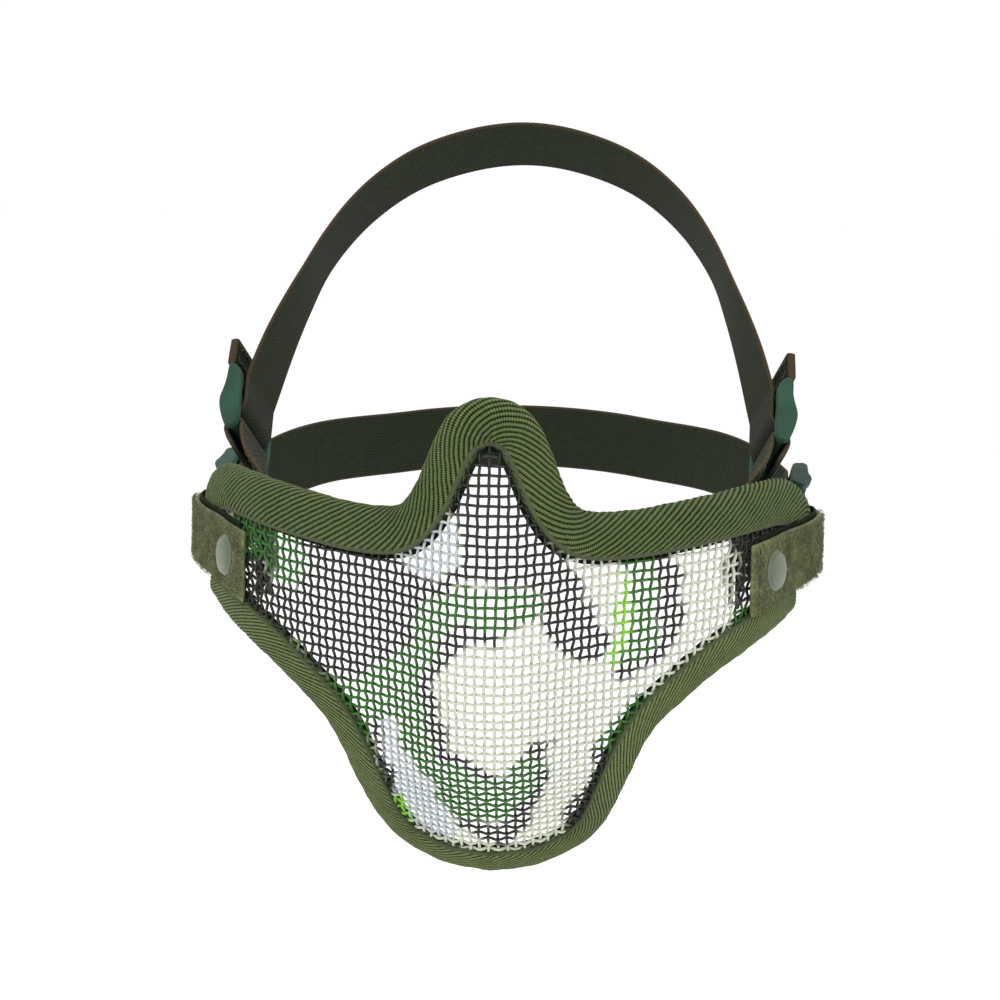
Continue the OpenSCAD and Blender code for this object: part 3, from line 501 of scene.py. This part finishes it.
for side, sgn in (("right", 1), ("left", -1)):
    V, F, uv, p, n, L, lz, tz = leaf(TAB, 1.5, -21.1, -0.3, sgn, 0.1, seed=3)
    tabo = mesh("loop_tab_"+side, V, F, uv, M_PILE, "mask"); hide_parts("side_tab_"+side)
    fo = fibres("loop_fuzz_"+side, sgn, p, n, L, lz, tz, 6500, 1, M_FIBRE, 11+(sgn > 0))
    V, F, uv, p2, n2, L2, lz2, tz2 = leaf(LIN, 0.8, -19.1, 0.9, sgn, 1.3, wob=0.05, seed=4)
    lin = mesh("lining_"+side, V, F, uv, M_LINING, "mask"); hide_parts("tab_lining_"+side)
    ax = np.array([wall[0]*sgn, wall[1], 0]); ax = ax/np.linalg.norm(ax)
    cen = np.array([80.3*sgn, -32.9, -11.0])
    R = 6.2; dome = [(0.3, -0.2), (R-0.5, -0.2), (R-0.12, -0.1), (R, 0.12), (R-0.06, 0.4), (R-0.3, 0.62), (R-0.75, 0.78)]
    dome += [(r_, 0.8+1.35*math.cos(math.asin(min(1, r_/(R-0.55))))**0.9) for r_ in np.linspace(R-0.95, 0.05, 16)]
    cap = lathe("domed_cap_"+side, dome, cen, ax, M_CAP, "mask"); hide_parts("rivet_cap_"+side)
    # seam that closes the folded tab just in front of its rear turn
    segs = []
    pt_at = lambda s: (np.array([np.interp(s, L, p[:, 0]), np.interp(s, L, p[:, 1])]), np.array([np.interp(s, L, n[:, 0]), np.interp(s, L, n[:, 1])]))
    for s in (3.2,):
        zc = -20.6
        while zc < -4.5:
            q, nq = pt_at(s); o3 = np.array([(q[0]+nq[0]*0.95)*sgn, q[1]+nq[1]*0.95, zc]); segs.append((o3, o3+[0, 0, 1.7], [nq[0]*sgn, nq[1], 0])); zc += 2.5
    stitch_mesh("tab_seam_"+side, segs, 0.22, M_THREAD_D, "mask")

# ------------------------------------------------------------------ harness (frame: X sideways, D along the strap, W across it)
PIV = np.array([0, -33.0, -11.0])
def hx(rise, sgn, xdw):
    a = np.asarray(xdw, float); e = math.radians(rise); c, s = math.cos(e), math.sin(e)
    return np.stack([a[..., 0]*sgn, PIV[1]+a[..., 1]*c-a[..., 2]*s, PIV[2]+a[..., 1]*s+a[..., 2]*c], -1)
def hv(rise, sgn, v):
    return hx(rise, sgn, v)-hx(rise, sgn, np.zeros(np.shape(v)))
def ribbon(name, k_, sgn, path, th, mat, body, lean, half=10.0, step=0.7, rows=16, amp=0.05, taper=None):
    """A woven band along path (x, d); lean(x, d) gives its outward lean in degrees."""
    p, L = resample(np.array(path, float), step); m = len(p)
    t = unit(np.gradient(p, axis=0)); n = np.stack([t[:, 1], -t[:, 0]], -1)
    k = rows*4; w = np.linspace(-half+th*0.5, half-th*0.5, k)
    ridge = amp*(np.abs(np.sin(np.pi*w/(2*half/rows)))-0.5)
    er = np.linspace(-math.pi/2, math.pi/2, 6)[1:-1]
    secw = np.r_[w, half-th*0.5+th*0.5*np.cos(er), w[::-1], -half+th*0.5-th*0.5*np.cos(er)]
    sech = np.r_[np.full(k, -1.0), np.sin(er), np.full(k, 1.0), -np.sin(er)]
    rg = np.r_[-ridge, np.zeros(4), ridge[::-1], np.zeros(4)]
    tk = np.full(m, th) if taper is None else taper(L, L[-1], th)
    cross = 0.03*np.sin(2*np.pi*L/1.5)
    H = sech[None]*tk[:, None]/2+rg[None]+np.sign(sech)[None]*cross[:, None]
    if sgn > 0: secw, H = secw[::-1], H[:, ::-1]
    kk = len(secw)
    Q = np.empty((m, kk, 3)); Q[..., 0] = p[:, None, 0]+n[:, None, 0]*H; Q[..., 1] = p[:, None, 1]+n[:, None, 1]*H; Q[..., 2] = secw[None]
    a_ = lean(p[:, 0], p[:, 1])
    V = hx(RISE[k_], sgn, lean_pt(Q, np.repeat(np.asarray(a_)[:, None], kk, 1), LX[k_]))
    vv = np.r_[secw, secw[:1]]
    uv = np.stack([np.repeat(L[:, None], kk+1, 1), np.repeat(vv[None], m, 0)], -1)
    return tube(name, V, uv, mat, body if isinstance(body, str) else None)
def tube(name, R, uvs, mat, body):
    """Closed skin through rings R[m,k,3]."""
    m, k = R.shape[:2]; V = R.reshape(-1, 3)
    i, j = np.meshgrid(np.arange(m-1), np.arange(k), indexing="ij"); j2 = (j+1) % k
    F = np.stack([i*k+j, i*k+j2, (i+1)*k+j2, (i+1)*k+j], -1).reshape(-1, 4); c0 = len(V); jj = np.arange(k)
    V = np.vstack([V, R[0].mean(0), R[-1].mean(0)])
    T = np.vstack([np.stack([np.full(k, c0), (jj+1) % k, jj], -1), np.stack([np.full(k, c0+1), (m-1)*k+jj, (m-1)*k+(jj+1) % k], -1)])
    q = np.stack([uvs[i, j], uvs[i, j+1], uvs[i+1, j+1], uvs[i+1, j]], -2).reshape(-1, 2)
    uv = np.vstack([q, np.repeat(uvs[0, :-1], 3, 0), np.repeat(uvs[-1, :-1], 3, 0)])
    o = mesh(name, V, [F, T], uv, mat, body); return o
RISE = {"upper": 49, "lower": 11}; LX = {"upper": 78.0, "lower": 83.0}; LOCK_D = {"upper": 41.0, "lower": 54.0}; LEAN = 18.0
HALF = {"upper": [[0,160],[17,157],[34,148.5],[48,134.5],[58.5,116.5],[65,97],[70.6,77],[75,58.6]],
        "lower": [[0,142],[16,140],[32,134],[46,124],[57.5,110.5],[67,96],[74.5,83],[80,71.6]]}
ARM = {"upper": [[67.6,-7],[67.6,-1],[67.6,8],[68.4,16],[71,25],[74,33],[75.5,39]], "lower": [[69.6,-7],[69.6,-1],[69.6,8],[71.6,20],[75.8,34],[79.4,45],[80.5,52]]}
def ease(v): s_ = np.clip(v, 0, 1); return s_*s_*(3-2*s_)
def lean_pt(q, a, lx):
    """Lean points (x, d, w) outwards by a degrees about the buckle's line."""
    q = np.asarray(q, float); sg = np.where(q[..., 0] < -0.001, -1.0, 1.0); x = np.abs(q[..., 0])-lx; r = np.radians(a); w = q[..., 2]
    return np.stack([sg*(lx+x*np.cos(r)+w*np.sin(r)), q[..., 1], w*np.cos(r)-x*np.sin(r)], -1)
def in_lock(k, sgn, q): return hx(RISE[k], sgn, lean_pt(q, LEAN, LX[k]))
def lock_vec(k, sgn, v): return in_lock(k, sgn, np.array([LX[k], 0, 0])+np.asarray(v, float))-in_lock(k, sgn, [LX[k], 0, 0])
def extrude_outline(outline, w0, w1, lx, ld, bev=0.4):
    """Rounded-edge plate from an outline in (x, d) about the buckle's first bar, between w0 and w1."""
    P0 = np.array(outline, float); cen = P0.mean(0)
    t = unit(np.roll(P0, -1, 0)-np.roll(P0, 1, 0)); nrm_ = np.stack([t[:, 1], -t[:, 0]], -1)
    if ((P0-cen)*nrm_).sum() < 0: nrm_ = -nrm_
    k = len(P0); rings = []
    for q in np.linspace(0, math.pi/2, 4): rings.append((P0-nrm_*bev*(1-math.sin(q)), w0+bev*(1-math.cos(q))))
    for q in np.linspace(math.pi/2, 0, 4): rings.append((P0-nrm_*bev*(1-math.sin(q)), w1-bev*(1-math.cos(q))))
    V = np.vstack([np.column_stack([r[0][:, 0]+lx, r[0][:, 1]+ld, np.full(k, r[1])]) for r in rings]); m = len(rings)
    i, j = np.meshgrid(np.arange(m-1), np.arange(k), indexing="ij"); j2 = (j+1) % k
    F = np.stack([i*k+j, i*k+j2, (i+1)*k+j2, (i+1)*k+j], -1).reshape(-1, 4)
    area = 0.5*np.sum(P0[:, 0]*np.roll(P0[:, 1], -1)-np.roll(P0[:, 0], -1)*P0[:, 1])
    return V, F, k, m, area
LOCK_OUT = crom([[-1.2,-2.2],[1.2,-2.2],[2.6,0.6],[3.8,5],[4.1,8.6],[3.0,13],[2.4,17],[2.2,20],[1.2,21],[-0.2,20.2],[-2,17],[-2.2,10],[-2.4,4],[-2.2,-0.8],[-1.2,-2.2]], 3)[:-1]
def buckle(name, kd, sgn, body):
    lx, ld = LX[kd], LOCK_D[kd]
    Vs, Qs, Ns = [], [], []; base = 0
    for s in (-1, 1):
        V, F, k, m, area = extrude_outline(LOCK_OUT, s*11.6-1.25, s*11.6+1.25, lx, ld)
        V = in_lock(kd, sgn, V); ccw = area > 0
        F2 = F if (ccw == (sgn > 0)) else F[:, ::-1]
        Vs.append(V); Qs.append(F2+base)
        c0 = np.arange(k); c1 = (m-1)*k+np.arange(k)
        Ns.append((c0[::-1] if (ccw == (sgn > 0)) else c0)+base); Ns.append((c1 if (ccw == (sgn > 0)) else c1[::-1])+base)
        base += len(V)
    def bar(cx, cd, prof, w=10.6, seg=28):
        nonlocal base
        g = 2*np.pi*np.arange(seg)/seg; ww = np.linspace(-w, w, 7)
        r = np.stack([prof(t) for t in g]); P_ = np.vstack([np.column_stack([cx+lx+r[:, 0], cd+ld+r[:, 1], np.full(seg, q)]) for q in ww])
        i, j = np.meshgrid(np.arange(6), np.arange(seg), indexing="ij"); j2 = (j+1) % seg
        F = np.stack([i*seg+j, i*seg+j2, (i+1)*seg+j2, (i+1)*seg+j], -1).reshape(-1, 4)
        if sgn < 0: F = F[:, ::-1]
        Vs.append(in_lock(kd, sgn, P_)); Qs.append(F+base); base += len(P_)
    bar(0, 0, lambda t: np.array([1.42*math.cos(t), 1.42*math.sin(t)]))
    bar(0, 8, lambda t: np.array([1.5*math.cos(t), 1.6*math.sin(t)]))
    # gripping bar carries small teeth
    bar(-0.6, 15, lambda t: np.array([(1.3+0.12*math.cos(12*t))*math.cos(t), (1.3+0.12*math.cos(12*t))*math.sin(t)]))
    me = bpy.data.meshes.new(name); V = np.vstack(Vs)*MM
    faces = [tuple(int(a) for a in f) for f in np.vstack(Qs)]+[tuple(int(a) for a in f) for f in Ns]
    me.from_pydata([tuple(v) for v in V], [], faces); me.update()
    for pgn in me.polygons: pgn.use_smooth = len(pgn.vertices) == 4
    me.materials.append(M_BUCKLE); o = bpy.data.objects.new(name, me); bpy.context.scene.collection.objects.link(o)
    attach(o, body); return o
for kd in ("upper", "lower"):
    lx, ld = LX[kd], LOCK_D[kd]; H = kd+"_harness"
    full = crom(whole(np.array(HALF[kd], float)), 16); full = full[full[:, 0] >= -1e-6]; cut = ld+46.0
    head_lean = lambda x, d, ld=ld: LEAN*(1-ease((d-ld-18)/60))
    lock_lean = lambda x, d: np.full(np.shape(d), LEAN)
    arm_lean = lambda x, d, ld=ld: LEAN*ease((d-14)/(ld-22))
    at_cut = np.array([[np.interp(-cut, -full[:, 1], full[:, 0]), cut]])
    mid = np.vstack([full[full[:, 1] > cut+0.05], at_cut])
    o = ribbon(kd+"_head_strap", kd, 1, whole(mid), 1.3, M_ELASTIC, H, head_lean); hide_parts(kd+"_strap")
    for side, sgn in (("right", 1), ("left", -1)):
        B = "%s_buckle_%s" % (kd, side); E = "%s_strap_end_%s" % (kd, side)
        # strap end: under the grip bar, round the middle bar and out on top, ending under the tail
        endp = np.vstack([at_cut, full[full[:, 1] < cut-0.05]])
        turn = np.array([[lx+3*math.cos(math.radians(a)), ld+8+3*math.sin(math.radians(a))] for a in range(180, 361, 10)])
        path = np.vstack([endp[:-1], [[lx-3, ld+17.6], [lx-3, ld+12]], turn, [[lx+2.85, ld+13], [lx+2.75, ld+20], [lx+2.7, ld+24]]])
        o = ribbon("%s_strap_turn_%s" % (kd, side), kd, sgn, path, 1.3, M_ELASTIC, None, head_lean)
        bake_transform(o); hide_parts("%s_wrap_%s" % (kd, side))
        # free tail, its end folded over and tacked
        tp = crom([[lx+3, ld+8.4], [lx+3, ld+17], [lx+3, ld+21], [lx+2.9, ld+26], [lx+2.6, ld+32.4]], 8)
        def fold(L, tot, th): return np.where(L > tot-9, th+1.3*np.clip((L-(tot-9))/0.5, 0, 1), th)
        o = ribbon("%s_tail_%s" % (kd, side), kd, sgn, tp, 1.3, M_ELASTIC, E, lock_lean, taper=fold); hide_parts("%s_tail_%s" % (kd, side))
        segs = []; zz_ = np.linspace(-8.4, 8.4, 12)
        for i in range(11):
            for dd in (25.6, 30.6):
                e_ = 0.8 if i % 2 else -0.8
                for f_ in (1, -1):
                    segs.append((in_lock(kd, sgn, [lx+2.75+f_*1.36, ld+dd+e_, zz_[i]]), in_lock(kd, sgn, [lx+2.75+f_*1.36, ld+dd-e_, zz_[i+1]]), lock_vec(kd, sgn, [f_, 0, 0])))
        stitch_mesh("%s_tail_tack_%s" % (kd, side), segs, 0.2, M_THREAD_D, E)
        # webbing arm: up one side of the first bar, over it and back down, then boxed with stitches
        eye = [[lx+2.45*math.cos(math.radians(a)), ld+2.45*math.sin(math.radians(a))] for a in range(180, -1, -12)]+[[lx+2.45, ld-1.2], [lx+1.7, ld-3.6], [lx+0.35, ld-6.2]]
        ap = crom(ARM[kd], 8)
        o = ribbon("%s_webbing_arm_%s" % (kd, side), kd, sgn, np.vstack([ap, eye]), 1.35, M_WEB, H, arm_lean, rows=13, amp=0.09)
        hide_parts("%s_arm_%s" % (kd, side))
        tn = unit(np.gradient(ap, axis=0)); nn = np.stack([tn[:, 1], -tn[:, 0]], -1)
        def arm_pt(d, w, h):
            q = [np.interp(d, ap[:, 1], ap[:, 0])+np.interp(d, ap[:, 1], nn[:, 0])*h, d+np.interp(d, ap[:, 1], nn[:, 1])*h, w]
            return hx(RISE[kd], sgn, lean_pt(q, arm_lean(0, d), lx))
        segs = []; d0_, d1_ = ld-19, ld-9.5
        for f_ in (1, -1):
            for (da, wa), (db, wb) in (((d0_, -8), (d0_, 8)), ((d1_, -8), (d1_, 8)), ((d0_, -8), (d1_, -8)), ((d0_, 8), (d1_, 8)), ((d0_, -8), (d1_, 8)), ((d0_, 8), (d1_, -8))):
                Ls = math.hypot(db-da, wb-wa); ns_ = int(Ls/2.0)
                for q in range(ns_):
                    a0, a1 = (q+0.12)/ns_, (q+0.86)/ns_
                    A = arm_pt(da+(db-da)*a0, wa+(wb-wa)*a0, f_*0.76); Bp = arm_pt(da+(db-da)*a1, wa+(wb-wa)*a1, f_*0.76)
                    up_ = arm_pt(da, wa, f_*2)-arm_pt(da, wa, 0); segs.append((A, Bp, unit(up_)))
        stitch_mesh("%s_arm_stitch_%s" % (kd, side), segs, 0.16, M_THREAD_D, H)
        o = buckle("%s_ladder_lock_%s" % (kd, side), kd, sgn, B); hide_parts("%s_lock_%s" % (kd, side))

# ------------------------------------------------------------------ carried-over CAD nodes get their finish
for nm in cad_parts:
    ob = bpy.data.objects.get(nm)
    if ob is None: continue
    m = M_STEEL if "rivet_post" in nm else M_FOAM if "foam" in nm else None
    if m is not None:
        ob.data.materials.clear() if not ob.material_slots else None
        for s in ob.material_slots: s.link = "OBJECT"; s.material = m

# ------------------------------------------------------------------ stage, light, camera
def plane(name, pts, mat):
    me = bpy.data.meshes.new(name); me.from_pydata(pts, [], [tuple(range(len(pts)))]); me.materials.append(mat)
    o = bpy.data.objects.new(name, me); bpy.context.scene.collection.objects.link(o); return o
mf = Mat("pale_floor", 0.9); mf.base((0.97, 0.97, 0.97, 1))
plane("floor", [(-6, -4, -0.16), (6, -4, -0.16), (6, 9, -0.16), (-6, 9, -0.16)], mf.m)
w = bpy.data.worlds.new("studio"); bpy.context.scene.world = w; w.use_nodes = True
w.node_tree.nodes["Background"].inputs[0].default_value = (1, 1, 1, 1); w.node_tree.nodes["Background"].inputs[1].default_value = 1.04
bpy.context.scene.view_settings.view_transform = "Standard"
def area(name, loc, target, size, power, col=(1, 1, 1)):
    l = bpy.data.lights.new(name, "AREA"); l.shape = "DISK"; l.size = size; l.energy = power; l.color = col
    o = bpy.data.objects.new(name, l); bpy.context.scene.collection.objects.link(o); o.location = loc
    o.rotation_euler = (Vector(target)-Vector(loc)).to_track_quat("-Z", "Y").to_euler(); return o
area("key", (-0.55, -1.25, 0.95), (0, -0.05, -0.02), 0.7, 7.5)
area("fill", (0.95, -0.9, 0.35), (0, -0.05, -0.02), 0.9, 2.5)
area("top", (0.0, 0.1, 1.3), (0, 0, 0), 0.8, 6)
cam = bpy.data.cameras.new("camera"); co = bpy.data.objects.new("camera", cam); bpy.context.scene.collection.objects.link(co)
yaw, pit, rol = math.radians(3.21), math.radians(5.0), math.radians(1.314)
fwd = Vector((-math.sin(yaw)*math.cos(pit), math.cos(yaw)*math.cos(pit), -math.sin(pit))); right = Vector((math.cos(yaw), math.sin(yaw), 0)); upv = right.cross(fwd)
r2 = right*math.cos(rol)+upv*math.sin(rol); u2 = upv*math.cos(rol)-right*math.sin(rol)
D = 1.3; T = Vector((0.003357, -0.098, 0.013)); C = T-fwd*D
co.matrix_world = Matrix(((r2.x, u2.x, -fwd.x, C.x), (r2.y, u2.y, -fwd.y, C.y), (r2.z, u2.z, -fwd.z, C.z), (0, 0, 0, 1)))
cam.sensor_width = 36; cam.lens = 36*(D/0.0002775)/1000; cam.clip_start = 0.05; cam.clip_end = 50
bpy.context.scene.camera = co
